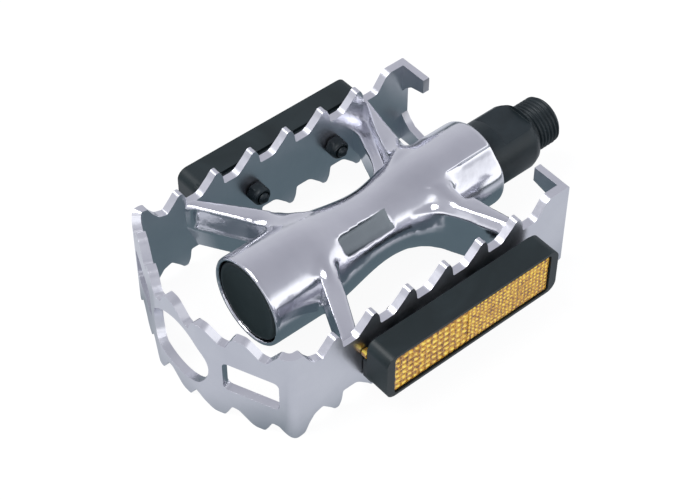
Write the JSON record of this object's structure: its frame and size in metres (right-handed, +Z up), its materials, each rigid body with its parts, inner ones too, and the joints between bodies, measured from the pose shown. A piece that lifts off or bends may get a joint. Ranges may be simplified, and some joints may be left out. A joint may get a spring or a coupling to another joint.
{
  "type": "flat cage pedal",
  "caption": "One-piece cast cage pedal with toothed plates, turning on ball bearings around a threaded spindle, with a reflector on each side plate.",
  "frame": {"origin": "centre of the spindle's threaded end face, where it enters the crank arm", "axes": "+X along the spindle out of its threaded end, towards the crank; +Y to the rear plate; +Z up, square to the cage's tread"},
  "size_m": [0.1272, 0.0852, 0.031],
  "materials": {
    "cast_aluminium": "cast, tumbled and polished",
    "black_steel": "black oxide, oiled",
    "bearing_steel": "hardened and ground",
    "ball_steel": "polished",
    "cap_plastic": "moulded, satin",
    "housing_plastic": "moulded, satin",
    "black_bolts": "black",
    "seal_rubber": "matt",
    "amber_lens": "clear amber, prismatic back"
  },
  "bodies": {
    "spindle": {"spindle": "black_steel", "bearing_cone": "bearing_steel", "keyed_washer": "bearing_steel", "lock_nut": "bearing_steel"},
    "pedal": {"pedal_body": "cast_aluminium", "dust_cap": "cap_plastic", "inner_dust_seal": "seal_rubber", "outer_bearing_cup": "bearing_steel", "inner_bearing_cup": "bearing_steel", "front_reflector_housing": "housing_plastic", "front_reflector_lens": "amber_lens", "front_reflector_bolt_1": "black_bolts", "front_reflector_bolt_2": "black_bolts", "front_reflector_nut_1": "black_bolts", "front_reflector_nut_2": "black_bolts", "rear_reflector_housing": "housing_plastic", "rear_reflector_lens": "amber_lens", "rear_reflector_bolt_1": "black_bolts", "rear_reflector_bolt_2": "black_bolts", "rear_reflector_nut_1": "black_bolts", "rear_reflector_nut_2": "black_bolts"},
    "outer_balls": {"outer_ball_01": "ball_steel", "outer_ball_02": "ball_steel", "outer_ball_03": "ball_steel", "outer_ball_04": "ball_steel", "outer_ball_05": "ball_steel", "outer_ball_06": "ball_steel", "outer_ball_07": "ball_steel", "outer_ball_08": "ball_steel", "outer_ball_09": "ball_steel", "outer_ball_10": "ball_steel", "outer_ball_11": "ball_steel", "outer_ball_12": "ball_steel"},
    "inner_balls": {"inner_ball_01": "ball_steel", "inner_ball_02": "ball_steel", "inner_ball_03": "ball_steel", "inner_ball_04": "ball_steel", "inner_ball_05": "ball_steel", "inner_ball_06": "ball_steel", "inner_ball_07": "ball_steel", "inner_ball_08": "ball_steel", "inner_ball_09": "ball_steel", "inner_ball_10": "ball_steel", "inner_ball_11": "ball_steel", "inner_ball_12": "ball_steel"}
  },
  "joints": [
    {"name": "pedal_spin", "type": "hinge", "parent": "spindle", "child": "pedal", "pos_m": [-0.1056, 0, 0], "axis": [1, 0, 0], "continuous": true},
    {"name": "outer_ball_roll", "type": "hinge", "parent": "spindle", "child": "outer_balls", "pos_m": [-0.1056, 0, 0], "axis": [1, 0, 0], "continuous": true},
    {"name": "inner_ball_roll", "type": "hinge", "parent": "spindle", "child": "inner_balls", "pos_m": [-0.1056, 0, 0], "axis": [1, 0, 0], "continuous": true}
  ],
  "couplings": [
    {"joint": "outer_ball_roll", "follows": "pedal_spin", "ratio": 0.603},
    {"joint": "inner_ball_roll", "follows": "pedal_spin", "ratio": 0.595}
  ]
}
